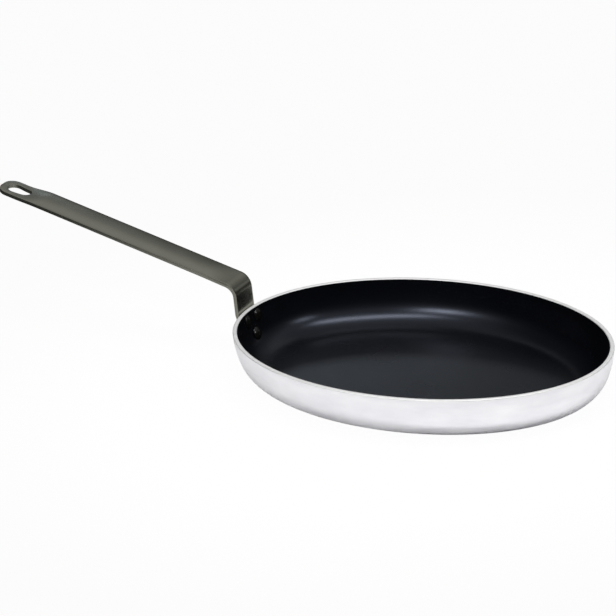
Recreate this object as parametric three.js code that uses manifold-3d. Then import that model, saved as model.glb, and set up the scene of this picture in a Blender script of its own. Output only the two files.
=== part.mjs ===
// Oval fish pan: a pressed aluminium body with a non-stick lining, and one strip-steel handle
// held by three rivets. Millimetres, +Z up. The origin is the centre of the flat underside, the
// oval's long axis lies along X, and the handle leaves the -X end.
import * as THREE from "three";
import { mergeVertices } from "three/addons/utils/BufferGeometryUtils.js";
import Module from "manifold-3d";

// Pan body: an oval rim, and a section of one sheet thickness with a bowed wall.
const RIM_LENGTH = 360;
const RIM_WIDTH = 276;
const PAN_HEIGHT = 45;
const SHEET = 4;
const CORNER_RADIUS = 32; // outside radius between the base and the wall
const WALL_LEAN_LOW = 19; // degrees off vertical where the corner ends
const WALL_LEAN_TOP = 4; // degrees off vertical at the rim
const RIM_ROUND = 1.2; // outer edge of the machined rim
const RIM_CHAMFER = 0.5; // inner edge of the machined rim

// Non-stick lining.
const COAT = 0.5;
const COAT_GAP = 0.1;
const RIM_BARE = 0.6; // bare metal between the rim and the top of the lining

// Handle: one strip, from its foot on the wall, up the leg, over the bend, along the grip.
const GRIP_WIDTH = 32.5;
const LEG_WIDTH = 30.5;
const STRIP_THICK = 3.4;
const STRIP_EDGE = 0.5; // chamfer along the strip's edges
const FOOT_GAP = 0.3; // between the foot and the wall
const FOOT_MARGIN = 9.5; // foot below the lower rivet's centre
const FOOT_CORNER = 12;
const FOOT_FLATTEN = 6; // below the rim, where the foot's curve starts to die out
const BEND_HEIGHT = 27; // from the rim to the corner of the leg and the grip
const BEND_RADIUS = 11; // hollow side of the bend
const GRIP_RISE = 14.4; // degrees above horizontal
const GRIP_LENGTH = 264.2; // from the corner to the tip
const GRIP_CROWN = 1.2; // height of the middle of the grip over its edges
const CROWN_RUN = 28; // length over which the crown rises and dies out
const EYE_WIDTH = 28.4;
const EYE_LENGTH = 20; // flat end beyond the crown
const EYE_DROP = 1.5; // how far the flat end lies below the grip's edges
const EYE_ROUND = 11.4; // length of the round end
const EYE_TIP = 6.3; // flat left at the very tip

// Hanging hole: a teardrop, wide towards the tip.
const HOLE_WIDE_RADIUS = 7.9;
const HOLE_NARROW_RADIUS = 6.4;
const HOLE_CENTRES = 10.2; // between the centres of the two ends
const HOLE_TO_TIP = 6.5; // metal left at the tip

// Rivets: two under the rim and one below, through the lining, the wall and the foot.
const RIVET_SHANK = 6;
const RIVET_HEAD = 12.5; // the dome inside the pan
const RIVET_DOME = 2.3;
const RIVET_CLOSED = 10; // the closed head outside
const RIVET_TAIL = 1.8;
const RIVET_PITCH = 19; // between the two upper rivets
const RIVET_UPPER_DROP = 8.5; // below the rim
const RIVET_LOWER_DROP = 23;
const RIVET_FIT = 0.2; // around the shank
const SEAT_GAP = 0.3; // under each head

// Smoothness.
const OVAL_SIDES = 84;
const RIVET_SIDES = 20;
const PROFILE_STEPS = 3;
const STRIP_COLUMNS = 8;
const MERGE_DISTANCE = 1e-4; // between points that are one corner

const wasm = await Module();
wasm.setup();

const { sin, cos, asin, sqrt, PI } = Math;
const LEAN_LOW = THREE.MathUtils.degToRad(WALL_LEAN_LOW);
const LEAN_TOP = THREE.MathUtils.degToRad(WALL_LEAN_TOP);
const RISE = THREE.MathUtils.degToRad(GRIP_RISE);
const LEAN_BASE = PI / 2;

const ALUMINIUM = new THREE.MeshStandardMaterial({
  color: 0xd9dadd,
  roughness: 0.38,
  metalness: 1,
});
const NONSTICK = new THREE.MeshStandardMaterial({
  color: 0x17181b,
  roughness: 0.42,
  metalness: 0,
});
const PAINTED_STEEL = new THREE.MeshStandardMaterial({
  color: 0x5c5c56,
  roughness: 0.45,
  metalness: 0.4,
});
const COATED_RIVET = new THREE.MeshStandardMaterial({
  color: 0x24241f,
  roughness: 0.35,
  metalness: 0.3,
});

// Solids, and geometry back from them.
function solid(geometry) {
  const bare = geometry.clone();
  bare.deleteAttribute("normal");
  bare.deleteAttribute("uv");
  const merged = mergeVertices(bare, MERGE_DISTANCE);
  const corners = merged.index.array;
  const triVerts = [];
  for (let i = 0; i < corners.length; i += 3) {
    const [a, b, c] = corners.slice(i, i + 3);
    if (a !== b && b !== c && c !== a) triVerts.push(a, b, c); // a turned profile closes on its axis
  }
  return new wasm.Manifold(
    new wasm.Mesh({
      numProp: 3,
      vertProperties: merged.getAttribute("position").array,
      triVerts: new Uint32Array(triVerts),
    }),
  );
}

function geometryOf(body) {
  const mesh = body.getMesh();
  const geometry = new THREE.BufferGeometry();
  geometry.setAttribute("position", new THREE.BufferAttribute(mesh.vertProperties, 3));
  geometry.setIndex(new THREE.BufferAttribute(mesh.triVerts, 1));
  const faceted = geometry.toNonIndexed();
  faceted.computeVertexNormals();
  return faceted;
}

function cut(geometry, tools) {
  const body = tools.reduce((left, tool) => left.subtract(solid(tool)), solid(geometry));
  return geometryOf(body);
}

function named(name, geometry, material) {
  const mesh = new THREE.Mesh(geometry, material);
  mesh.name = name;
  return mesh;
}

// Wall section: a bowed wall above a rounded corner, two arcs that meet at LEAN_LOW. A skin lies
// at a depth inside the outer face, on the same centres, and a lean names a place on it.
const halfLength = RIM_LENGTH / 2;
const halfWidth = RIM_WIDTH / 2;
const bowHeight = PAN_HEIGHT - CORNER_RADIUS * (1 - sin(LEAN_LOW));
const bow = { radius: bowHeight / (sin(LEAN_LOW) - sin(LEAN_TOP)) };
bow.x = halfLength - bow.radius * cos(LEAN_TOP);
bow.z = PAN_HEIGHT + bow.radius * sin(LEAN_TOP);
const corner = { radius: CORNER_RADIUS };
corner.x = bow.x + (bow.radius - corner.radius) * cos(LEAN_LOW);
corner.z = corner.radius;

function leanAtHeight(z, depth) {
  const onBow = (bow.z - z) / (bow.radius - depth);
  if (onBow <= sin(LEAN_LOW)) return asin(onBow);
  return asin((corner.z - z) / (corner.radius - depth));
}

function skinPoint(lean, depth) {
  const arc = lean > LEAN_LOW ? corner : bow;
  const radius = arc.radius - depth;
  return new THREE.Vector2(arc.x + radius * cos(lean), arc.z - radius * sin(lean));
}

// A point on a skin at the handle's end of the oval, at a distance y from the long axis. Every
// level of the pan is an ellipse, with both half-axes shorter by the same inset from the rim.
function wallPoint(lean, depth, y) {
  const { x: long, y: z } = skinPoint(lean, depth);
  const short = long - (halfLength - halfWidth);
  return new THREE.Vector3(-long * sqrt(1 - (y / short) ** 2), y, z);
}

// The normal there, pointing into the pan.
function wallNormal(lean, depth, y) {
  const point = wallPoint(lean, depth, y);
  const long = skinPoint(lean, depth).x;
  const short = long - (halfLength - halfWidth);
  const plan = new THREE.Vector2(-point.x / long ** 2, -point.y / short ** 2).normalize();
  return new THREE.Vector3(plan.x * cos(lean), plan.y * cos(lean), sin(lean));
}

// Traces a skin of the section, up from the base or down to the floor.
function traceUp(path, depth, topLean) {
  path.lineTo(corner.x, depth);
  path.absarc(corner.x, corner.z, corner.radius - depth, -LEAN_BASE, -LEAN_LOW, false);
  path.absarc(bow.x, bow.z, bow.radius - depth, -LEAN_LOW, -topLean, false);
}

function traceDown(path, depth, topLean) {
  path.absarc(bow.x, bow.z, bow.radius - depth, -topLean, -LEAN_LOW, true);
  path.absarc(corner.x, corner.z, corner.radius - depth, -LEAN_LOW, -LEAN_BASE, true);
}

// Turns a section about Z, then draws each ring in along Y, from a circle to the pan's oval.
function ovalTurn(path) {
  const geometry = new THREE.LatheGeometry(path.getPoints(PROFILE_STEPS), OVAL_SIDES);
  geometry.rotateX(PI / 2);
  const position = geometry.getAttribute("position");
  for (let i = 0; i < position.count; i++) {
    const radius = Math.hypot(position.getX(i), position.getY(i));
    if (radius < SHEET) continue;
    const narrowed = radius - (halfLength - halfWidth);
    position.setY(i, (position.getY(i) * narrowed) / radius);
  }
  return geometry;
}

function panBody() {
  const path = new THREE.Path();
  path.moveTo(0, 0);
  traceUp(path, 0, leanAtHeight(PAN_HEIGHT - RIM_ROUND, 0));
  path.quadraticCurveTo(halfLength, PAN_HEIGHT, halfLength - RIM_ROUND, PAN_HEIGHT);
  const innerLean = leanAtHeight(PAN_HEIGHT - RIM_CHAMFER, SHEET);
  path.lineTo(skinPoint(innerLean, SHEET).x + RIM_CHAMFER, PAN_HEIGHT);
  traceDown(path, SHEET, innerLean);
  path.lineTo(0, SHEET);
  return ovalTurn(path);
}

function nonstickLining() {
  const under = SHEET + COAT_GAP;
  const face = under + COAT;
  const top = PAN_HEIGHT - RIM_BARE;
  const path = new THREE.Path();
  path.moveTo(0, under);
  traceUp(path, under, leanAtHeight(top, under));
  traceDown(path, face, leanAtHeight(top, face));
  path.lineTo(0, face);
  return ovalTurn(path);
}

// Handle. Its upper face runs up the wall and the leg, over the bend and along the grip.
const footEnd = PAN_HEIGHT - RIVET_LOWER_DROP - FOOT_MARGIN;
const rimLean = leanAtHeight(PAN_HEIGHT, -FOOT_GAP);
const rimPoint = wallPoint(rimLean, -FOOT_GAP, 0);
const bendTurn = PI / 2 - RISE - rimLean;
const bendFace = BEND_RADIUS + STRIP_THICK;
const bendTangent = bendFace * Math.tan(bendTurn / 2);
const legLength = BEND_HEIGHT / cos(rimLean) - bendTangent;

function directionUp(lean) {
  return new THREE.Vector3(-sin(lean), 0, cos(lean));
}

function faceNormal(lean) {
  return new THREE.Vector3(cos(lean), 0, sin(lean));
}

const legTop = rimPoint.clone().addScaledVector(directionUp(rimLean), legLength);
const bendCentre = legTop.clone().addScaledVector(faceNormal(rimLean), -bendFace);
const gripLean = rimLean + bendTurn;
const gripStart = bendCentre.clone().addScaledVector(faceNormal(gripLean), bendFace);
const gripRun = GRIP_LENGTH - bendTangent;
const eyeStart = gripRun - EYE_LENGTH;

function gripPoint(run) {
  return gripStart.clone().addScaledVector(directionUp(gripLean), run);
}

// One ring around the strip at a station, with its four edges chamfered. A station gives its
// half-width, and the point at a place across the strip and a depth below its upper face.
function stripRing({ half, at }) {
  const flat = half - STRIP_EDGE;
  const ring = [];
  for (let i = 0; i <= STRIP_COLUMNS; i++) {
    ring.push(at(-flat + (2 * flat * i) / STRIP_COLUMNS, 0));
  }
  ring.push(at(half, STRIP_EDGE));
  ring.push(at(half, STRIP_THICK - STRIP_EDGE));
  for (let i = 0; i <= STRIP_COLUMNS; i++) {
    ring.push(at(flat - (2 * flat * i) / STRIP_COLUMNS, STRIP_THICK));
  }
  ring.push(at(-half, STRIP_THICK - STRIP_EDGE));
  ring.push(at(-half, STRIP_EDGE));
  return ring;
}

// A station on the foot lies on skins outside the wall. It hugs the oval where hug is 1, and runs
// straight across where hug is 0, as the leg above it does.
function footStation(lean, half, hug) {
  const onSkin = (y, depth) => {
    const point = wallPoint(lean, -FOOT_GAP - depth, y);
    const middle = wallPoint(lean, -FOOT_GAP - depth, 0);
    point.x = middle.x + (point.x - middle.x) * hug;
    return point;
  };
  return { half, at: onSkin };
}

// A station above the rim has a plain normal, and a crown that lifts its middle.
function freeStation(point, lean, half, crown) {
  const normal = faceNormal(lean);
  const lift = (y) => crown * (1 - (y / half) ** 2);
  const at = (y, depth) =>
    new THREE.Vector3(0, y, 0).add(point).addScaledVector(normal, lift(y) - depth);
  return { half, at };
}

function steps(count) {
  return Array.from({ length: count }, (_, i) => (i + 1) / count);
}

function stepsFromZero(count) {
  return [0, ...steps(count)];
}

function ease(t) {
  return THREE.MathUtils.smoothstep(t, 0, 1);
}

function handleStations() {
  const legHalf = LEG_WIDTH / 2;
  const gripHalf = GRIP_WIDTH / 2;
  const eyeHalf = EYE_WIDTH / 2;
  const stations = [];
  const onFoot = (z, half, hug) => {
    stations.push(footStation(leanAtHeight(z, -FOOT_GAP), half, hug));
  };
  const cornerTop = footEnd + FOOT_CORNER;
  const hugTop = PAN_HEIGHT - FOOT_FLATTEN;

  // The foot, from its round lower corners to the rim, where its curve has died out.
  stepsFromZero(5).forEach((t) => {
    const turn = (t * PI) / 2;
    const z = cornerTop - FOOT_CORNER * cos(turn);
    onFoot(z, legHalf - FOOT_CORNER * (1 - sin(turn)), 1);
  });
  steps(3).forEach((t) => onFoot(cornerTop + (hugTop - cornerTop) * t, legHalf, 1));
  steps(3).forEach((t) => onFoot(hugTop + FOOT_FLATTEN * t, legHalf, 1 - ease(t)));

  // The leg and the bend, which widens to the grip.
  stepsFromZero(8).forEach((t) => {
    const lean = rimLean + bendTurn * t;
    const point = bendCentre.clone().addScaledVector(faceNormal(lean), bendFace);
    stations.push(freeStation(point, lean, legHalf + (gripHalf - legHalf) * ease(t), 0));
  });

  // The grip: the crown rises after the bend, and dies out into the narrower, lower eye.
  const onGrip = (run, half, crown, drop) => {
    const point = gripPoint(run).addScaledVector(faceNormal(gripLean), -drop);
    stations.push(freeStation(point, gripLean, half, crown));
  };
  steps(4).forEach((t) => onGrip(CROWN_RUN * t, gripHalf, GRIP_CROWN * ease(t), 0));
  stepsFromZero(6).forEach((t) => {
    const half = gripHalf + (eyeHalf - gripHalf) * ease(t);
    onGrip(eyeStart - CROWN_RUN * (1 - t), half, GRIP_CROWN * (1 - ease(t)), EYE_DROP * ease(t));
  });

  // The round end.
  const endHalf = EYE_TIP / 2;
  stepsFromZero(8).forEach((t) => {
    const turn = (t * PI) / 2;
    const run = gripRun - EYE_ROUND * (1 - sin(turn));
    onGrip(run, endHalf + (eyeHalf - endHalf) * cos(turn), 0, EYE_DROP);
  });
  return stations;
}

// Skins a row of rings of equal count, and closes both ends.
function loft(rings) {
  const count = rings[0].length;
  const points = rings.flat();
  const indices = [];
  for (let r = 0; r + 1 < rings.length; r++) {
    for (let i = 0; i < count; i++) {
      const a = r * count + i;
      const b = r * count + ((i + 1) % count);
      indices.push(a, b, b + count, a, b + count, a + count);
    }
  }
  const last = (rings.length - 1) * count;
  for (let i = 1; i + 1 < count; i++) {
    indices.push(0, i + 1, i);
    indices.push(last, last + i, last + i + 1);
  }
  const geometry = new THREE.BufferGeometry().setFromPoints(points);
  geometry.setIndex(indices);
  return geometry;
}

// The hanging hole, drawn along the grip from the tip and cut square through it.
function hangingHole() {
  const wide = gripRun - HOLE_TO_TIP - HOLE_WIDE_RADIUS;
  const narrow = wide - HOLE_CENTRES;
  const tangent = Math.acos((HOLE_WIDE_RADIUS - HOLE_NARROW_RADIUS) / HOLE_CENTRES);
  const outline = new THREE.Shape();
  outline.absarc(wide, 0, HOLE_WIDE_RADIUS, tangent - PI, PI - tangent, false);
  outline.absarc(narrow, 0, HOLE_NARROW_RADIUS, PI - tangent, PI + tangent, false);
  const depth = 4 * (STRIP_THICK + EYE_DROP);
  const geometry = new THREE.ExtrudeGeometry(outline, {
    depth,
    bevelEnabled: false,
    curveSegments: 12,
  });
  geometry.translate(0, 0, -depth / 2);
  const along = directionUp(gripLean);
  const normal = faceNormal(gripLean);
  const across = new THREE.Vector3().crossVectors(normal, along);
  const place = new THREE.Matrix4().makeBasis(along, across, normal).setPosition(gripStart);
  return geometry.applyMatrix4(place);
}

// Rivets. A rivet stands on +Z, with the flat underside of its dome at z = 0.
const liningFace = SHEET + COAT_GAP + COAT;
const headRadius = RIVET_HEAD / 2;

// A place for a rivet: the wall is hollow under the dome, so the dome stands clear of its curve.
function rivetPlace(drop, y) {
  const lean = leanAtHeight(PAN_HEIGHT - drop, liningFace);
  const centre = wallPoint(lean, liningFace, y);
  const axis = wallNormal(lean, liningFace, y);
  const lowerEdge = leanAtHeight(centre.z - headRadius * cos(lean), liningFace);
  const hollow = wallPoint(lowerEdge, liningFace, y).sub(centre).dot(axis);
  const seat = SEAT_GAP + hollow;
  const turn = new THREE.Quaternion().setFromUnitVectors(new THREE.Vector3(0, 0, 1), axis);
  return {
    position: centre.addScaledVector(axis, seat),
    turn,
    grip: seat + liningFace + FOOT_GAP + STRIP_THICK + SEAT_GAP,
  };
}

const rivetPlaces = {
  rivet_upper_near: rivetPlace(RIVET_UPPER_DROP, -RIVET_PITCH / 2),
  rivet_upper_far: rivetPlace(RIVET_UPPER_DROP, RIVET_PITCH / 2),
  rivet_lower: rivetPlace(RIVET_LOWER_DROP, 0),
};

// A domed head inside the pan, the shank, and the flatter closed head outside.
function rivetGeometry({ grip }) {
  const shank = RIVET_SHANK / 2;
  const closed = RIVET_CLOSED / 2;
  const domeRadius = (headRadius ** 2 + RIVET_DOME ** 2) / (2 * RIVET_DOME);
  const domeEdge = asin(headRadius / domeRadius);
  const profile = new THREE.Path();
  profile.moveTo(0, -grip - RIVET_TAIL);
  profile.lineTo(closed - RIVET_TAIL, -grip - RIVET_TAIL);
  profile.quadraticCurveTo(closed, -grip - RIVET_TAIL, closed, -grip);
  profile.lineTo(shank, -grip);
  profile.lineTo(shank, 0);
  profile.absarc(0, RIVET_DOME - domeRadius, domeRadius, PI / 2 - domeEdge, PI / 2, false);
  return new THREE.LatheGeometry(profile.getPoints(PROFILE_STEPS), RIVET_SIDES).rotateX(PI / 2);
}

function rivetHole({ position, turn, grip }) {
  const radius = RIVET_SHANK / 2 + RIVET_FIT;
  const length = 4 * grip;
  const drill = new THREE.CylinderGeometry(radius, radius, length, RIVET_SIDES).rotateX(PI / 2);
  return drill.applyQuaternion(turn).translate(position.x, position.y, position.z);
}

const rivetHoles = Object.values(rivetPlaces).map(rivetHole);
const fishPan = new THREE.Group();
fishPan.name = "fish_pan";
fishPan.add(named("pan_body", cut(panBody(), rivetHoles), ALUMINIUM));
fishPan.add(named("nonstick_lining", cut(nonstickLining(), rivetHoles), NONSTICK));
const strip = loft(handleStations().map(stripRing));
fishPan.add(named("handle", cut(strip, [...rivetHoles, hangingHole()]), PAINTED_STEEL));
for (const [name, place] of Object.entries(rivetPlaces)) {
  const rivet = named(name, rivetGeometry(place), COATED_RIVET);
  rivet.position.copy(place.position);
  rivet.quaternion.copy(place.turn);
  fishPan.add(rivet);
}

export default fishPan;
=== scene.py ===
# %% [markdown]
# # An oval fish pan
#
# The pan is a pressed aluminium body with a black non-stick lining. One long handle of strip steel
# is riveted to its end. The handle stands up against the wall, bends over, and rises away from the
# pan to a flat eye that hangs on a hook.
#
# The solids of the pan are loaded first, as a fixed frame. Each is then modelled again, finely,
# in the same place, and takes its place in the picture.

# %% Load the frame
import math

import bmesh
import bpy
from mathutils import Matrix, Vector


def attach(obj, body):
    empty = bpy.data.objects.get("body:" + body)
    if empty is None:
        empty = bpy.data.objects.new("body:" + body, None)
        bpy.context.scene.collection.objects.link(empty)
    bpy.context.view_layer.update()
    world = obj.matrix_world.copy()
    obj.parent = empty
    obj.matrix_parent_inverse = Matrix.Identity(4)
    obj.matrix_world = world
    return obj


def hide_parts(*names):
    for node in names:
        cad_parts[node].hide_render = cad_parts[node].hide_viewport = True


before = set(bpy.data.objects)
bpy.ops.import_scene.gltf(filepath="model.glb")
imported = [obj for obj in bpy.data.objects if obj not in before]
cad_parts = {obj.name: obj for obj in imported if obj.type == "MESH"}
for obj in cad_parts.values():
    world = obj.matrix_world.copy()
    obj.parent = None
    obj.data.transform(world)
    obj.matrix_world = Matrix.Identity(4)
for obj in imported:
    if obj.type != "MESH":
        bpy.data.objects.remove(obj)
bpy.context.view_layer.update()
print("solids:", ", ".join(sorted(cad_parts)))

# %% [markdown]
# ## The section of the wall
#
# Seen from above, every level of the pan is an oval, and its two half-axes are shorter than the
# rim's by the same inset. So the whole body follows from one section: the inset at each height.
# The section is two arcs, a small one at the corner above the base and a large one that bows the
# wall. A skin inside the metal keeps the same two centres and has smaller radii. A lean is the
# angle of the wall off the vertical, and it names a place on a skin.

# %% Sizes of the wall and centres of its arcs
MM = 0.001
HALF_LENGTH, HALF_WIDTH = 180 * MM, 138 * MM
NARROWING = HALF_LENGTH - HALF_WIDTH  # the same for the oval of every level
PAN_HEIGHT, SHEET = 45 * MM, 4 * MM
CORNER_RADIUS = 32 * MM
LEAN_BASE, LEAN_LOW, LEAN_TOP = math.pi / 2, math.radians(19), math.radians(4)

bow_radius = (PAN_HEIGHT - CORNER_RADIUS * (1 - math.sin(LEAN_LOW))) / (
    math.sin(LEAN_LOW) - math.sin(LEAN_TOP)
)
bow_centre = Vector((
    HALF_LENGTH - bow_radius * math.cos(LEAN_TOP),
    PAN_HEIGHT + bow_radius * math.sin(LEAN_TOP),
))
corner_centre = Vector((
    bow_centre.x + (bow_radius - CORNER_RADIUS) * math.cos(LEAN_LOW),
    CORNER_RADIUS,
))
print(f"the wall bows on a radius of {bow_radius / MM:.1f} mm")
print(f"the flat base ends {corner_centre.x / MM:.1f} mm from the middle")


# %% Points on a skin
def skin_point(lean, depth):
    """Half-length and height of the skin at a depth inside the outer face."""
    if lean > LEAN_LOW:
        centre, radius = corner_centre, CORNER_RADIUS - depth
    else:
        centre, radius = bow_centre, bow_radius - depth
    return centre + radius * Vector((math.cos(lean), -math.sin(lean)))


def lean_at(height, depth):
    """The lean of a skin at a height."""
    on_bow = (bow_centre.y - height) / (bow_radius - depth)
    if on_bow <= math.sin(LEAN_LOW):
        return math.asin(on_bow)
    return math.asin((corner_centre.y - height) / (CORNER_RADIUS - depth))


half_up = math.degrees(lean_at(PAN_HEIGHT / 2, 0))
print(f"half way up, the wall leans {half_up:.1f} degrees")

# %% [markdown]
# ## Working like a metal spinner
#
# A round or oval vessel can be made with a lathe-like Spin, with a Screw modifier, or by pulling a
# face up ring by ring. Spin only makes circles, and this pan is an oval whose walls keep one
# inset, so the last way is used: a filled circle is stretched to the oval of the base, and is
# then extruded and resized from ring to ring along the section. The face that is left at the end
# is the floor inside the pan.

# %% Pull an oval from ring to ring
def clear_selection():
    """Leave edit mode and deselect everything, the loaded solids too."""
    if bpy.context.object and bpy.context.object.mode == "EDIT":
        bpy.ops.object.mode_set(mode="OBJECT")
    bpy.ops.object.select_all(action="DESELECT")


def pull_rings(name, rings, sides, narrowing=0, edges_only=False):
    """Pull a filled oval through its rings, each a half-length and a height."""
    clear_selection()
    bpy.ops.mesh.primitive_circle_add(
        vertices=sides, radius=1, fill_type="NGON", location=(0, 0, 0)
    )
    bpy.context.object.name = name
    bpy.ops.object.mode_set(mode="EDIT")
    bpy.ops.mesh.select_all(action="SELECT")
    length, height = rings[0]
    bpy.ops.transform.resize(value=(length, length - narrowing, 1))
    bpy.ops.transform.translate(value=(0, 0, height))
    extrude = bpy.ops.mesh.extrude_edges_move if edges_only else bpy.ops.mesh.extrude_region_move
    for next_length, next_height in rings[1:]:
        extrude(TRANSFORM_OT_translate={"value": (0, 0, next_height - height)})
        wider = (next_length - narrowing) / (length - narrowing)
        bpy.ops.transform.resize(value=(next_length / length, wider, 1))
        length, height = next_length, next_height
    bpy.ops.mesh.select_all(action="SELECT")
    bpy.ops.mesh.normals_make_consistent(inside=False)
    return bpy.context.object


# %% [markdown]
# The pieces all end in the same way. Their modifiers are applied, a Bevel rounds the edges of the
# metal, so that they catch a line of light as real edges do, and the faces are shaded smooth.

# %% Finish a piece
SMOOTH_ANGLE = math.radians(40)


def select_only(piece):
    """Make the piece the active one and the only one selected."""
    clear_selection()
    bpy.context.view_layer.objects.active = piece
    piece.select_set(True)


def apply_modifier(piece, kind, **settings):
    """Add a modifier to the piece, set it and apply it."""
    select_only(piece)
    bpy.ops.object.modifier_add(type=kind)
    modifier = piece.modifiers[-1]
    for setting, value in settings.items():
        setattr(modifier, setting, value)
    bpy.ops.object.modifier_apply(modifier=modifier.name)


def round_edges(piece, width, segments, degrees):
    """Bevel the edges of the piece that turn by more than the angle."""
    apply_modifier(
        piece, "BEVEL", width=width, segments=segments, limit_method="ANGLE",
        angle_limit=math.radians(degrees),
    )


def smooth(piece):
    """Shade the piece smooth, with its sharp edges left sharp, and print its size."""
    select_only(piece)
    bpy.ops.object.shade_smooth_by_angle(angle=SMOOTH_ANGLE)
    size = " x ".join(f"{side / MM:.1f}" for side in piece.dimensions)
    print(f"{piece.name}: {size} mm, {len(piece.data.polygons)} faces")


# %% [markdown]
# ## Pan body
#
# The body is one sheet of aluminium, so the rings go up the outer face, over the rim and down the
# inner face. The rim is turned on a lathe: its outer edge is rounded, its top is flat, and its
# inner edge is chamfered where the lining ends. A small Bevel takes the last sharpness off the
# edges of the rim. The faces of the rim are marked for a finish of their own.

# %% Rings of the pan body
RIM_ROUND, RIM_CHAMFER = 1.2 * MM, 0.5 * MM
CORNER_STEPS, WALL_STEPS, ROUND_STEPS = 12, 12, 6


def between(start, end, count):
    """Evenly spaced values after start, up to and with end."""
    return [start + (end - start) * (i + 1) / count for i in range(count)]


def face_rings(depth, top_lean):
    """The rings of a skin, from the edge of the base to the top."""
    corner = [skin_point(lean, depth) for lean in between(LEAN_BASE, LEAN_LOW, CORNER_STEPS)]
    wall = [skin_point(lean, depth) for lean in between(LEAN_LOW, top_lean, WALL_STEPS)]
    return [Vector((corner_centre.x, depth))] + corner + wall


outer_rings = face_rings(0, lean_at(PAN_HEIGHT - RIM_ROUND, 0))
round_rings = [
    Vector((
        HALF_LENGTH - RIM_ROUND * (1 - math.cos(turn)),
        PAN_HEIGHT - RIM_ROUND * (1 - math.sin(turn)),
    ))
    for turn in between(0, math.pi / 2, ROUND_STEPS)
]
inner_rings = face_rings(SHEET, lean_at(PAN_HEIGHT - RIM_CHAMFER, SHEET))
chamfer_ring = Vector((inner_rings[-1].x + RIM_CHAMFER, PAN_HEIGHT))
body_rings = outer_rings + round_rings + [chamfer_ring] + inner_rings[::-1]
print(len(body_rings), "rings from the base to the floor inside")

# %% Pull the pan body
OVAL_SIDES = 192
HAIR = 0.1 * MM  # a margin, where faces and points are picked by their place
WALL_FINISH, RIM_FINISH = 0, 1

pan_body = pull_rings("pan_body_shell", body_rings, OVAL_SIDES, NARROWING)
round_edges(pan_body, width=0.25 * MM, segments=2, degrees=30)
smooth(pan_body)
for face in pan_body.data.polygons:
    on_rim = face.center.z > PAN_HEIGHT - RIM_ROUND - HAIR
    face.material_index = RIM_FINISH if on_rim else WALL_FINISH

# %% [markdown]
# ## Non-stick lining
#
# The lining is a coat sprayed into the pan, up to the chamfer of the rim. It is pulled as an open
# sheet on the visible side of the coat, and Solidify then gives it its thickness towards the
# metal. Only the edge is extruded here, so that the floor stays where it is.

# %% Pull the lining
COAT, COAT_GAP, RIM_BARE = 0.5 * MM, 0.1 * MM, 0.6 * MM

coat_face = SHEET + COAT_GAP + COAT
coat_rings = face_rings(coat_face, lean_at(PAN_HEIGHT - RIM_BARE, coat_face))
lining = pull_rings("nonstick_lining_coat", coat_rings, OVAL_SIDES, NARROWING, edges_only=True)
bpy.ops.object.mode_set(mode="OBJECT")
floor_face = max(lining.data.polygons, key=lambda face: face.area)
if floor_face.normal.z < 0:
    bpy.ops.object.mode_set(mode="EDIT")
    bpy.ops.mesh.flip_normals()
apply_modifier(lining, "SOLIDIFY", thickness=COAT, offset=-1, use_even_offset=True)
smooth(lining)

# %% [markdown]
# ## Handle
#
# The handle is one steel strip. A smith cuts it flat, with a round end and a foot with round
# corners, presses a crown into the grip, and bends it over the wall. The strip is planned first, as
# a row of stations from the foot to the eye. Each station gives the place of a cross row, its lean,
# its half-width and its crown. On the foot the crown is negative, because the foot is hollow to hug
# the oval wall.

# %% Sizes of the strip
GRIP_HALF, LEG_HALF, EYE_HALF = 16.25 * MM, 15.25 * MM, 14.2 * MM
STRIP_THICK, FOOT_GAP = 3.4 * MM, 0.3 * MM
FOOT_END, FOOT_CORNER, FOOT_FLATTEN = 12.5 * MM, 12 * MM, 6 * MM
BEND_HEIGHT, BEND_RADIUS = 27 * MM, 11 * MM
GRIP_RISE, GRIP_LENGTH = math.radians(14.4), 264.2 * MM
GRIP_CROWN, CROWN_RUN = 1.2 * MM, 28 * MM
EYE_LENGTH, EYE_DROP = 20 * MM, 1.5 * MM
EYE_ROUND, EYE_TIP_HALF = 11.4 * MM, 3.15 * MM

rim_lean = lean_at(PAN_HEIGHT, -FOOT_GAP)
grip_lean = math.pi / 2 - GRIP_RISE
bend_face = BEND_RADIUS + STRIP_THICK
bend_tangent = bend_face * math.tan((grip_lean - rim_lean) / 2)
grip_run = GRIP_LENGTH - bend_tangent
crown_end = grip_run - EYE_LENGTH - CROWN_RUN
print(f"the grip runs {grip_run / MM:.1f} mm from the bend to its tip")


# %% Places along the strip
def along(lean):
    """The way the strip runs where it has this lean, from the foot to the eye."""
    return Vector((-math.sin(lean), 0, math.cos(lean)))


def outward(lean):
    """The way its upper face looks there: at the pan on the leg, up on the grip."""
    return Vector((math.cos(lean), 0, math.sin(lean)))


rim_at_handle = skin_point(rim_lean, -FOOT_GAP)
leg_top = Vector((-rim_at_handle.x, 0, rim_at_handle.y)) + along(rim_lean) * (
    BEND_HEIGHT / math.cos(rim_lean) - bend_tangent
)
bend_centre = leg_top - outward(rim_lean) * bend_face
grip_start = bend_centre + outward(grip_lean) * bend_face
print(f"the bend starts {leg_top.z / MM:.1f} mm above the base")

# %% Stations from the foot to the eye
FOOT_CORNER_ROWS, FOOT_ROWS, FLATTEN_ROWS, BEND_ROWS = 10, 5, 8, 28
CROWN_ROWS, GRIP_ROWS, EYE_RUN_ROWS, EYE_ROUND_ROWS = 12, 12, 16, 20
stations = []


def eased(t):
    """A smooth step from 0 to 1."""
    return t * t * (3 - 2 * t)


def foot_station(height, half, hug):
    """A row on the foot: its middle lies on the wall, and its edges follow the oval."""
    lean = lean_at(height, -FOOT_GAP)
    length, level = skin_point(lean, -FOOT_GAP)
    hollow = hug * length * (1 - math.sqrt(1 - (half / (length - NARROWING)) ** 2))
    middle = Vector((-length, 0, level))
    stations.append((middle + outward(lean) * hollow, lean, half, -hollow))


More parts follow.
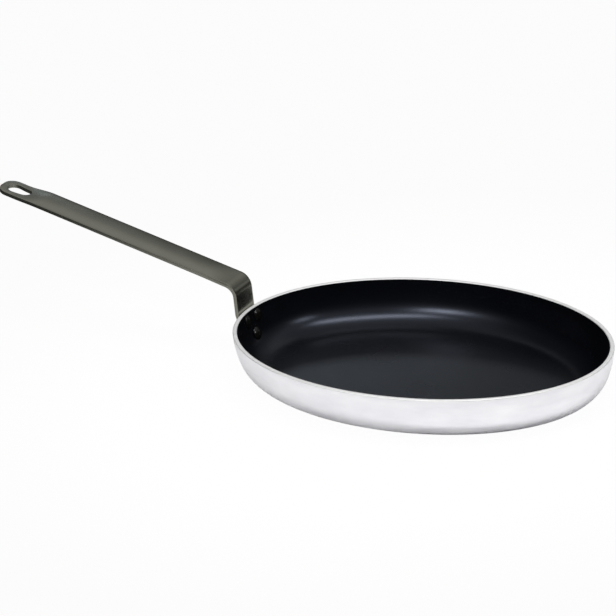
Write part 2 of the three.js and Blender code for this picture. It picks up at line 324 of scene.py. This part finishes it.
def grip_station(run, half, crown, drop):
    """A row on the grip, at a run from the end of the bend."""
    edge = grip_start + along(grip_lean) * run - outward(grip_lean) * drop
    stations.append((edge, grip_lean, half, crown))


for turn in [0] + between(0, math.pi / 2, FOOT_CORNER_ROWS):
    corner_half = LEG_HALF - FOOT_CORNER * (1 - math.sin(turn))
    foot_station(FOOT_END + FOOT_CORNER * (1 - math.cos(turn)), corner_half, 1)
for height in between(FOOT_END + FOOT_CORNER, PAN_HEIGHT - FOOT_FLATTEN, FOOT_ROWS):
    foot_station(height, LEG_HALF, 1)
for t in between(0, 1, FLATTEN_ROWS):
    foot_station(PAN_HEIGHT - FOOT_FLATTEN * (1 - t), LEG_HALF, 1 - eased(t))
for t in [0] + between(0, 1, BEND_ROWS):
    lean = rim_lean + (grip_lean - rim_lean) * t
    half = LEG_HALF + (GRIP_HALF - LEG_HALF) * eased(t)
    stations.append((bend_centre + outward(lean) * bend_face, lean, half, 0))
for t in between(0, 1, CROWN_ROWS):
    grip_station(CROWN_RUN * t, GRIP_HALF, GRIP_CROWN * eased(t), 0)
for run in between(CROWN_RUN, crown_end, GRIP_ROWS):
    grip_station(run, GRIP_HALF, GRIP_CROWN, 0)
for t in between(0, 1, EYE_RUN_ROWS):
    half = GRIP_HALF + (EYE_HALF - GRIP_HALF) * eased(t)
    grip_station(crown_end + CROWN_RUN * t, half, GRIP_CROWN * (1 - eased(t)), EYE_DROP * eased(t))
for turn in [0] + between(0, math.pi / 2, EYE_ROUND_ROWS):
    half = EYE_TIP_HALF + (EYE_HALF - EYE_TIP_HALF) * math.cos(turn)
    grip_station(grip_run - EYE_ROUND * (1 - math.sin(turn)), half, 0, EYE_DROP)
print(len(stations), "stations along the strip")

# %% [markdown]
# The blank is a flat grid with a unit crown across it, laid out one metre up, clear of the pan.
# Each cross row is then sized, turned and carried to its station, as a smith bends a strip bit by
# bit.

# %% Lay out the blank and carry its rows to their stations
BENCH, STRIP_COLUMNS = 1.0, 16
ON_LINE = 0.001  # a point this near to a line of the blank is on it


def select_where(piece, test):
    """Select the vertices of the piece in edit mode that lie where the test says."""
    cage = bmesh.from_edit_mesh(piece.data)
    for vertex in cage.verts:
        vertex.select_set(bool(test(vertex.co)))
    cage.select_flush_mode()
    bmesh.update_edit_mesh(piece.data)


clear_selection()
bpy.ops.mesh.primitive_grid_add(
    x_subdivisions=len(stations) - 1, y_subdivisions=STRIP_COLUMNS, size=2, location=(0, 0, 0)
)
handle = bpy.context.object
handle.name = "handle_strip"
bpy.ops.object.mode_set(mode="EDIT")
bpy.context.tool_settings.mesh_select_mode = (True, False, False)
bpy.ops.mesh.select_all(action="SELECT")
bpy.ops.transform.translate(value=(0, 0, BENCH))
for column in range(1, STRIP_COLUMNS):
    across = -1 + 2 * column / STRIP_COLUMNS
    select_where(handle, lambda co: abs(co.y - across) < ON_LINE)
    bpy.ops.transform.translate(value=(0, 0, 1 - across**2))
for row, (place, lean, half, crown) in enumerate(stations):
    row_x = 1 - 2 * row / (len(stations) - 1)
    on_bench = Vector((row_x, 0, BENCH))
    select_where(handle, lambda co: co.z > BENCH / 2 and abs(co.x - row_x) < ON_LINE)
    bpy.ops.transform.resize(value=(1, half, crown), center_override=on_bench)
    bpy.ops.transform.rotate(
        value=-(math.pi / 2 - lean), orient_axis="Y", center_override=on_bench
    )
    bpy.ops.transform.translate(value=place - on_bench)
bpy.ops.object.mode_set(mode="OBJECT")
print(handle.name, "has", len(handle.data.polygons), "faces before it is thickened")

# %% [markdown]
# ## Thickness and hanging hole
#
# Solidify gives the strip its thickness, and marks the cut edges for a finish of their own. The
# coplanar faces of the eye are then dissolved, so that a Boolean leaves a clean edge there.

# %% Thicken the strip and clear its eye
EDGE_FINISH = 1  # the faces of the strip keep finish 0
FLAT_ANGLE = math.radians(0.3)


def two_finishes(piece):
    """Give the piece two empty material slots, to be filled when it is dressed."""
    piece.data.materials.append(None)
    piece.data.materials.append(None)


two_finishes(handle)
apply_modifier(
    handle, "SOLIDIFY", thickness=STRIP_THICK, offset=-1, use_even_offset=True,
    material_offset_rim=EDGE_FINISH,
)
eye_start = (grip_start + along(grip_lean) * (grip_run - EYE_LENGTH)).x
bpy.ops.object.mode_set(mode="EDIT")
select_where(handle, lambda co: co.x < eye_start + HAIR)
bpy.ops.mesh.dissolve_limited(angle_limit=FLAT_ANGLE, use_dissolve_boundaries=False)
clear_selection()
print(handle.name, "has", len(handle.data.polygons), "faces before it is punched")

# %% [markdown]
# The hole is a teardrop, wide towards the tip, punched through the flat eye. Its cutter starts as
# a circle of the wide end. The points on the grip's side are drawn in to the radius of the narrow
# end and moved along, which leaves two round ends joined by straight sides. One Bevel then rounds
# the edges of the strip and of the hole together.

# %% Make the cutter of the hole
HOLE_WIDE, HOLE_NARROW = 7.9 * MM, 6.4 * MM
HOLE_CENTRES, HOLE_TO_TIP = 10.2 * MM, 6.5 * MM
HOLE_SIDES, CUTTER_REACH = 64, 4 * STRIP_THICK

bpy.ops.mesh.primitive_circle_add(vertices=HOLE_SIDES, radius=HOLE_WIDE, fill_type="NGON")
cutter = bpy.context.object
two_finishes(cutter)
bpy.ops.object.mode_set(mode="EDIT")
tangent = (HOLE_WIDE - HOLE_NARROW) / HOLE_CENTRES
select_where(cutter, lambda co: co.x / HOLE_WIDE > tangent)
bpy.ops.transform.resize(value=(HOLE_NARROW / HOLE_WIDE,) * 3, center_override=(0, 0, 0))
bpy.ops.transform.translate(value=(HOLE_CENTRES, 0, 0))
bpy.ops.mesh.select_all(action="SELECT")
bpy.ops.transform.translate(value=(0, 0, -CUTTER_REACH))
bpy.ops.mesh.extrude_region_move(TRANSFORM_OT_translate={"value": (0, 0, 2 * CUTTER_REACH)})
bpy.ops.mesh.select_all(action="SELECT")
bpy.ops.mesh.normals_make_consistent(inside=False)
cutter.active_material_index = EDGE_FINISH
bpy.ops.object.material_slot_assign()
bpy.ops.object.mode_set(mode="OBJECT")
print(f"the hole is {(HOLE_WIDE + HOLE_CENTRES + HOLE_NARROW) / MM:.1f} mm long")

# %% Punch the hole and round the edges
wide_end = grip_run - HOLE_TO_TIP - HOLE_WIDE
cutter.location = grip_start + along(grip_lean) * wide_end
cutter.rotation_euler = (0, math.pi / 2 - grip_lean, 0)
bpy.context.view_layer.update()
apply_modifier(handle, "BOOLEAN", operation="DIFFERENCE", solver="EXACT", object=cutter)
bpy.data.objects.remove(cutter)
round_edges(handle, width=0.6 * MM, segments=3, degrees=50)
smooth(handle)

# %% [markdown]
# ## Rivets
#
# Each rivet has a domed head inside the pan, a shank through the wall and the foot, and a flatter
# head that was closed on the outside. It is turned work, so it is pulled ring by ring from the top
# of its dome, as the body was, and then turned to the wall's normal and moved to its place.

# %% Rings of a rivet
RIVET_SHANK, RIVET_HEAD, RIVET_DOME = 3 * MM, 6.25 * MM, 2.3 * MM
RIVET_CLOSED, RIVET_TAIL = 5 * MM, 1.8 * MM
RIVET_SIDES, DOME_STEPS, CLOSED_STEPS = 48, 12, 8

dome_radius = (RIVET_HEAD**2 + RIVET_DOME**2) / (2 * RIVET_DOME)
dome_edge = math.asin(RIVET_HEAD / dome_radius)
print(f"the domes are turned to a radius of {dome_radius / MM:.1f} mm")


def rivet_rings(grip):
    """(radius, height) of each ring from the top of the dome to the face of the closed head."""
    dome = [
        (dome_radius * math.sin(turn), RIVET_DOME - dome_radius * (1 - math.cos(turn)))
        for turn in between(0, dome_edge, DOME_STEPS)
    ]
    closed = [
        (RIVET_CLOSED - RIVET_TAIL * (1 - math.cos(turn)), -grip - RIVET_TAIL * math.sin(turn))
        for turn in [0] + between(0, math.pi / 2, CLOSED_STEPS)
    ]
    return dome + [(RIVET_SHANK, 0), (RIVET_SHANK, -grip)] + closed


# %% [markdown]
# The lining is hollow under the dome, so the dome stands a little clear of it: the lowest point of
# the head is found on the lining first, and the rivet is seated over that.

# %% Model a rivet and seat it, three times
SEAT_GAP, RIVET_PITCH = 0.3 * MM, 19 * MM
RIVET_UPPER_DROP, RIVET_LOWER_DROP = 8.5 * MM, 23 * MM
DOME_FINISH, CLOSED_FINISH = 0, 1


def on_lining(lean, y):
    """The point of the lining at the handle's end, and the half-axes of its level."""
    length, level = skin_point(lean, coat_face)
    width = length - NARROWING
    return Vector((-length * math.sqrt(1 - (y / width) ** 2), y, level)), length, width


def rivet_at(name, drop, y):
    """Model a rivet of the right length for its place and seat it in the wall."""
    lean = lean_at(PAN_HEIGHT - drop, coat_face)
    centre, length, width = on_lining(lean, y)
    plan = Vector((-centre.x / length**2, -y / width**2)).normalized()
    axis = Vector((plan.x * math.cos(lean), plan.y * math.cos(lean), math.sin(lean)))
    lower_lean = lean_at(centre.z - RIVET_HEAD * math.cos(lean), coat_face)
    seat = SEAT_GAP + (on_lining(lower_lean, y)[0] - centre).dot(axis)

    rings = rivet_rings(seat + coat_face + FOOT_GAP + STRIP_THICK + SEAT_GAP)
    rivet = pull_rings(name, rings, RIVET_SIDES)
    bpy.ops.object.mode_set(mode="OBJECT")
    for face in rivet.data.polygons:
        face.material_index = CLOSED_FINISH if face.center.z < rings[-1][1] / 2 else DOME_FINISH
    rivet.rotation_mode = "QUATERNION"
    rivet.rotation_quaternion = Vector((0, 0, 1)).rotation_difference(axis)
    rivet.location = centre + axis * seat
    bpy.ops.object.transform_apply(location=True, rotation=True, scale=True)
    round_edges(rivet, width=0.3 * MM, segments=2, degrees=50)
    smooth(rivet)
    return rivet


rivet_upper_near = rivet_at("rivet_upper_near_dome", RIVET_UPPER_DROP, -RIVET_PITCH / 2)
rivet_upper_far = rivet_at("rivet_upper_far_dome", RIVET_UPPER_DROP, RIVET_PITCH / 2)
rivet_lower = rivet_at("rivet_lower_dome", RIVET_LOWER_DROP, 0)

# %% [markdown]
# ## Finishes
#
# Colours are written as sRGB hex values, as a colour picker shows them, and Blender's shaders want
# linear light, so one function converts them. One more function adds a shader node. No real surface
# is even, so in every finish of the pan a pattern moves the colour and the roughness between two
# values.

# %% Colour and node helpers
def linear(hex_colour):
    """An sRGB hex colour as linear RGBA."""
    values = [int(hex_colour[i : i + 2], 16) / 255 for i in (1, 3, 5)]
    return [v / 12.92 if v <= 0.04045 else ((v + 0.055) / 1.055) ** 2.4 for v in values] + [1]


def add_node(tree, kind, settings=None, **links):
    """Add a node, set its properties or sockets, and link sockets to its inputs by name."""
    node = tree.nodes.new(kind)
    for name, value in (settings or {}).items():
        if name in node.inputs:
            node.inputs[name].default_value = value
        else:
            setattr(node, name, value)
    for name, source in links.items():
        tree.links.new(source, node.inputs[name.replace("_", " ")])
    return node


print(f"a middle grey, #808080, is {linear('#808080')[0]:.3f} in linear light")


# %% Start a finish and vary it
def new_finish(name):
    """A material, and its tree, shader and object coordinates."""
    finish = bpy.data.materials.new(name)
    finish.use_nodes = True
    tree = finish.node_tree
    shader = tree.nodes["Principled BSDF"]
    place = add_node(tree, "ShaderNodeTexCoord").outputs["Object"]
    print("made", name)
    return finish, tree, shader, place


def vary(tree, shader, pattern, colours, roughness):
    """Let a pattern move the shader's colour and roughness between two of each."""
    tone = add_node(tree, "ShaderNodeValToRGB", Fac=pattern)
    for stop, colour in zip(tone.color_ramp.elements, colours):
        stop.color = linear(colour)
    smoothest, roughest = roughness
    gloss = add_node(
        tree, "ShaderNodeMapRange", {"To Min": smoothest, "To Max": roughest}, Value=pattern
    )
    tree.links.new(tone.outputs["Color"], shader.inputs["Base Color"])
    tree.links.new(gloss.outputs["Result"], shader.inputs["Roughness"])


# %% [markdown]
# ### Spun aluminium
#
# Pressed aluminium is finished on the lathe with fine abrasive, which leaves faint lines round the
# wall. The metal is pale and satin, and cloudy where the pressing worked it harder. The abrasive
# draws the clouds out round the wall, so they are about 35 mm long and a third as high. The lines
# are about 0.2 mm apart, and they are drawn 0.9 mm apart so that they show at all. A Wave texture
# has a band every 2 pi / (20 * scale), so its scale is worked out from the spacing.

# %% Spun aluminium for the body
LINE_SPACING, CLOUD_LENGTH = 0.9 * MM, 35 * MM

spun_aluminium, tree, shader, place = new_finish("spun_satin_aluminium")
shader.inputs["Metallic"].default_value = 1
drawn_out = add_node(tree, "ShaderNodeMapping", {"Scale": (1, 1, 3)}, Vector=place)
cloud = add_node(
    tree, "ShaderNodeTexNoise", {"Scale": 1 / CLOUD_LENGTH, "Detail": 3},
    Vector=drawn_out.outputs["Vector"],
)
vary(tree, shader, cloud.outputs["Fac"], ("#e2e1e6", "#fdfdff"), (0.26, 0.4))
lines = add_node(
    tree, "ShaderNodeTexWave",
    {"bands_direction": "Z", "Scale": 2 * math.pi / (20 * LINE_SPACING), "Distortion": 1.5,
     "Detail": 2, "Detail Scale": 0.2},
    Vector=place,
)
relief = add_node(
    tree, "ShaderNodeBump", {"Strength": 0.04, "Distance": 0.05 * MM},
    Height=lines.outputs["Fac"],
)
tree.links.new(relief.outputs["Normal"], shader.inputs["Normal"])

# %% [markdown]
# ### Turned rim
#
# The rim was cut to height on the lathe after the pan was lined. It is the same metal, freshly
# cut: brighter, and rougher from the tool, which left patches about 4 mm across.

# %% Turned aluminium for the rim
PATCH_SIZE = 4 * MM

turned_rim, tree, shader, place = new_finish("turned_aluminium_rim")
shader.inputs["Metallic"].default_value = 1
patch = add_node(tree, "ShaderNodeTexNoise", {"Scale": 1 / PATCH_SIZE, "Detail": 3}, Vector=place)
vary(tree, shader, patch.outputs["Fac"], ("#eeeeee", "#fbfbfb"), (0.68, 0.8))

# %% [markdown]
# ### Non-stick coat
#
# The lining is a sprayed fluoropolymer, close to black. Its index of refraction is low, about 1.35
# for the bare polymer and 1.41 here, where it was matched to the pan with its pigment and binder.
# So it mirrors light only weakly, as soft streaks along the corner of the floor. Spraying leaves a
# fine orange peel about 1.5 mm across, and the coat drifts in tone over about 60 mm.

# %% Non-stick coat for the lining
PEEL_SIZE, COAT_DRIFT = 1.5 * MM, 60 * MM

nonstick, tree, shader, place = new_finish("nonstick_fluoropolymer")
shader.inputs["IOR"].default_value = 1.41
shader.inputs["Specular Tint"].default_value = linear("#dce6ff")
drift = add_node(tree, "ShaderNodeTexNoise", {"Scale": 1 / COAT_DRIFT, "Detail": 2}, Vector=place)
vary(tree, shader, drift.outputs["Fac"], ("#050609", "#08090d"), (0.23, 0.3))
peel = add_node(tree, "ShaderNodeTexNoise", {"Scale": 1 / PEEL_SIZE, "Detail": 2}, Vector=place)
relief = add_node(
    tree, "ShaderNodeBump", {"Strength": 0.05, "Distance": 0.05 * MM}, Height=peel.outputs["Fac"]
)
tree.links.new(relief.outputs["Normal"], shader.inputs["Normal"])

# %% [markdown]
# ### Baked coat of the handle
#
# The strip is steel under a thin baked coat with metal flake in it, a warm dark grey. Such a coat
# mirrors softly like a dull metal, so the grip shows the room above it and the leg shows the dark
# pan in front of it. The coat is slightly pebbled, about 0.7 mm across, and drifts in tone over
# about 25 mm. On the sheared edges of the strip it is rougher and painted a little darker, as
# painted shade on the edges.

# %% Baked grey coat for the handle
PEBBLE_SIZE, FLAKE_DRIFT = 0.7 * MM, 25 * MM

baked_grey, tree, shader, place = new_finish("baked_metal_flake_coat_on_steel")
shader.inputs["Metallic"].default_value = 0.95
drift = add_node(tree, "ShaderNodeTexNoise", {"Scale": 1 / FLAKE_DRIFT, "Detail": 3}, Vector=place)
vary(tree, shader, drift.outputs["Fac"], ("#848479", "#939388"), (0.2, 0.29))
pebble = add_node(tree, "ShaderNodeTexNoise", {"Scale": 1 / PEBBLE_SIZE, "Detail": 2}, Vector=place)
relief = add_node(
    tree, "ShaderNodeBump", {"Strength": 0.04, "Distance": 0.05 * MM}, Height=pebble.outputs["Fac"]
)
tree.links.new(relief.outputs["Normal"], shader.inputs["Normal"])

# %% Darker copy of the coat for the strip's sheared edges, as painted shade
TEAR_SIZE = 1.5 * MM

painted_dark_edge_coat, tree, shader, place = new_finish("edge_coat_with_painted_shade")
shader.inputs["Metallic"].default_value = 0.9
tear = add_node(tree, "ShaderNodeTexNoise", {"Scale": 1 / TEAR_SIZE, "Detail": 3}, Vector=place)
# The edges are painted a little darker than the grip's coat: this is painted shade.
vary(tree, shader, tear.outputs["Fac"], ("#7a7a70", "#8c8c82"), (0.28, 0.38))

# %% [markdown]
# ### Rivet coat
#
# The rivets went in before the lining was baked, so their heads inside carry the same dark coat, a
# little glossier on the dome, with specks about 1.2 mm across. The heads that were closed outside
# are bare metal, and take the finish of the rim.

# %% Dark coat for the rivets
SPECK_SIZE = 1.2 * MM

rivet_coat, tree, shader, place = new_finish("dark_coat_on_rivets")
shader.inputs["IOR"].default_value = 1.4
speck = add_node(tree, "ShaderNodeTexNoise", {"Scale": 1 / SPECK_SIZE, "Detail": 2}, Vector=place)
vary(tree, shader, speck.outputs["Fac"], ("#080807", "#121210"), (0.12, 0.2))

# %% [markdown]
# ## Each piece takes its place
#
# A piece wears its finishes, in the order of its marked faces. It rides on the one body of the pan,
# and stands for the solid that it was modelled after.

# %% Dress the pieces
dressing = {
    "pan_body": (pan_body, [spun_aluminium, turned_rim], "pan_aluminium"),
    "nonstick_lining": (lining, [nonstick], "nonstick_coat"),
    "handle": (handle, [baked_grey, painted_dark_edge_coat], "handle_coat"),
    "rivet_upper_near": (rivet_upper_near, [rivet_coat, turned_rim], "rivet_coat"),
    "rivet_upper_far": (rivet_upper_far, [rivet_coat, turned_rim], "rivet_coat"),
    "rivet_lower": (rivet_lower, [rivet_coat, turned_rim], "rivet_coat"),
}
for node, (piece, finishes, slot) in dressing.items():
    while len(piece.data.materials) < len(finishes):
        piece.data.materials.append(None)
    for index, finish in enumerate(finishes):
        piece.data.materials[index] = finish
    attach(piece, "root")
    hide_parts(node)
    print(piece.name, "stands for", node)

# %% [markdown]
# ## Camera
#
# The camera stands where the photographer's did: in front of the pan and a little to the right of
# its middle, about three metres away, with a long lens. It is turned a little about its own axis,
# because the pan's long axis falls slightly to the right in the picture. It stands a little to the
# left of the rim's centre and above it, because the rim isn't in the middle of the picture.

# %% Set up the camera
PICTURE_WIDTH, SENSOR_WIDTH = 616, 36
DISTANCE, FOCAL_PIXELS = 3.0, 3310.8
STEP_LEFT, STEP_UP = 0.10265, 0.02553

azimuth, elevation, roll = map(math.radians, (28.332, 22.2025, -2.7249))
right = Vector((math.cos(azimuth), math.sin(azimuth), 0))
back = Vector((
    math.sin(azimuth) * math.cos(elevation),
    -math.cos(azimuth) * math.cos(elevation),
    math.sin(elevation),
))
up = back.cross(right)
right, up = (
    right * math.cos(roll) + up * math.sin(roll),
    up * math.cos(roll) - right * math.sin(roll),
)
rim_centre = Vector((0, 0, PAN_HEIGHT))
clear_selection()
bpy.ops.object.camera_add()
camera = bpy.context.object
camera.data.sensor_width = SENSOR_WIDTH
camera.data.lens = SENSOR_WIDTH * FOCAL_PIXELS / PICTURE_WIDTH
facing = Matrix((right, up, back)).transposed().to_4x4()
stand = rim_centre + back * DISTANCE - right * STEP_LEFT + up * STEP_UP
camera.matrix_world = Matrix.Translation(stand) @ facing
bpy.context.scene.camera = camera
print(f"lens {camera.data.lens:.1f} mm")

# %% [markdown]
# ## Floor and light
#
# The pan stands on a white paper sweep. The sweep is almost pure white to the camera, with only a
# breath of the pan's shadow left in it. In reflections it is the paper as it is lit: white round
# the pan, and dark in a line where the pan shades it. Further off, it is painted dark, as painted
# shade where the light of a studio falls away. So the wall mirrors white paper and the handle
# mirrors a dim room.

# %% Lay the floor
SWEEP_SIZE, SWEEP_DROP = 12, 0.2 * MM
# A pool of light is painted on the paper: white out to the edge, painted dark from the end on.
PAINTED_POOL_EDGE, PAINTED_POOL_END = 0.28, 0.5  # metres from the middle of the pan
WHITE_SHARE = 0.97

clear_selection()
bpy.ops.mesh.primitive_plane_add(size=SWEEP_SIZE, location=(0, 0, -SWEEP_DROP))
sweep = bpy.context.object
sweep.name = "floor_sweep"
paper, tree, shader, place = new_finish("white_paper_with_painted_light")
shader.inputs["Roughness"].default_value = 0.9
reach = add_node(tree, "ShaderNodeVectorMath", {"operation": "LENGTH"}, Vector=place)
painted_light_pool = add_node(
    tree, "ShaderNodeMapRange", {"From Min": PAINTED_POOL_EDGE, "From Max": PAINTED_POOL_END},
    Value=reach.outputs["Value"],
)
# Painted shade: the colour of the paper falls from white to dark grey away from the pan.
tone = add_node(tree, "ShaderNodeValToRGB", Fac=painted_light_pool.outputs["Result"])
tone.color_ramp.elements[0].color = linear("#f4f4f4")
tone.color_ramp.elements[1].color = linear("#262626")
tree.links.new(tone.outputs["Color"], shader.inputs["Base Color"])
path = add_node(tree, "ShaderNodeLightPath")
share = add_node(
    tree, "ShaderNodeMapRange", {"To Max": WHITE_SHARE}, Value=path.outputs["Is Camera Ray"]
)
glow = add_node(tree, "ShaderNodeEmission", {"Strength": 1.0})
mixed = add_node(tree, "ShaderNodeMixShader", Fac=share.outputs["Result"])
tree.links.new(shader.outputs["BSDF"], mixed.inputs[1])
tree.links.new(glow.outputs["Emission"], mixed.inputs[2])
tree.links.new(mixed.outputs["Shader"], tree.nodes["Material Output"].inputs["Surface"])
sweep.data.materials.append(paper)
print("laid", sweep.name)

# %% [markdown]
# The room is dim near the horizon and bright overhead, so the lining and the grip keep their
# darks. It is darkest on the left, which the right corner of the lining mirrors. To the camera the
# room is white, as the paper is.

# %% Light the room
# Between these two X of a direction, the light falls to a tenth on the left.
DARK_SIDE = {"From Min": -0.58, "From Max": -0.42, "To Min": 0.1}
ROOM_TONES = [
    (0.0, "#2c2c2c"), (0.17, "#2c2c2c"), (0.3, "#4a4a4a"), (0.42, "#787878"), (0.54, "#848484"),
    (0.68, "#d6d6d6"), (0.8, "#ababab"), (0.9, "#acacac"), (1.0, "#dcdcdc"),
]  # from the horizon to overhead

world = bpy.data.worlds.new("soft_room")
bpy.context.scene.world = world
world.use_nodes = True
tree = world.node_tree
room = tree.nodes["Background"]
direction = add_node(tree, "ShaderNodeTexCoord").outputs["Generated"]
heading = add_node(tree, "ShaderNodeSeparateXYZ", Vector=direction)
shade = add_node(tree, "ShaderNodeValToRGB", Fac=heading.outputs["Z"])
stops = shade.color_ramp.elements
while len(stops) < len(ROOM_TONES):
    stops.new(0.5)
for stop, (position, tone) in zip(stops, ROOM_TONES):
    stop.position, stop.color = position, linear(tone)
left = add_node(tree, "ShaderNodeMapRange", DARK_SIDE, Value=heading.outputs["X"])
tree.links.new(shade.outputs["Color"], room.inputs["Color"])
tree.links.new(left.outputs["Result"], room.inputs["Strength"])
path = add_node(tree, "ShaderNodeLightPath")
white = add_node(tree, "ShaderNodeBackground", {"Color": (1, 1, 1, 1), "Strength": 1.0})
mixed = add_node(tree, "ShaderNodeMixShader", Fac=path.outputs["Is Camera Ray"])
tree.links.new(room.outputs["Background"], mixed.inputs[1])
tree.links.new(white.outputs["Background"], mixed.inputs[2])
tree.links.new(mixed.outputs["Shader"], tree.nodes["World Output"].inputs["Surface"])
print("lit", world.name, "with", len(stops), "tones")

# %% [markdown]
# Five soft boxes stand in the room. A long one hangs almost overhead, askew to the pan, and draws
# the long streak along the corner of the lining. A smaller one in front and one on the right draw
# the second, finer streak above it. A weak one far behind the pan, straight across from the camera,
# lightens the near part of the floor, and a low one behind on the right softens the bend of the
# handle. A box is given by the brightness of its face, where 1 is white.

# %% Hang the soft boxes
WATTS_FOR_WHITE = 4  # per square metre: this is how Cycles reads the power of an area light


def soft_box(name, place, long_side, width, depth, brightness, colour="#ffffff"):
    """An area light at a place, facing the pan, with its width along the long side."""
    clear_selection()
    bpy.ops.object.light_add(type="AREA")
    lamp = bpy.context.object
    lamp.name = name
    away = (Vector(place) - rim_centre).normalized()
    short_side = away.cross(Vector(long_side)).normalized()
    facing = Matrix((short_side.cross(away), short_side, away)).transposed().to_4x4()
    lamp.matrix_world = Matrix.Translation(place) @ facing
    lamp.data.shape = "RECTANGLE"
    lamp.data.size, lamp.data.size_y = width, depth
    lamp.data.energy = WATTS_FOR_WHITE * width * depth * brightness
    lamp.data.color = linear(colour)[:3]
    print(f"{name}: {lamp.data.energy:.1f} W")


soft_box(
    "overhead_soft_box", place=(0.27, -0.25, 1.6), long_side=(0.83, 0.56, 0),
    width=1.4, depth=0.3, brightness=8.5,
)
soft_box(
    "front_soft_box", place=(-0.35, -1.55, 1.6), long_side=(1, 0, 0),
    width=0.6, depth=0.45, brightness=12,
)
soft_box(
    "back_soft_box", place=(-2.25, 4.03, 2.0), long_side=(0.87, 0.5, 0),
    width=0.6, depth=0.45, brightness=0.72, colour="#e4f3ff",
)
soft_box(
    "low_soft_box", place=(1.9, 3.3, 0.95), long_side=(0.85, -0.53, 0),
    width=0.9, depth=0.7, brightness=0.3,
)
soft_box(
    "right_soft_box", place=(2.1, 0, 1.6), long_side=(0, 1, 0),
    width=0.6, depth=0.4, brightness=6,
)

# %% [markdown]
# ## Finish
#
# The finely modelled pan has to fill the same box as the solids that it stands for.

# %% Finish
bpy.context.scene.view_settings.view_transform = "Standard"
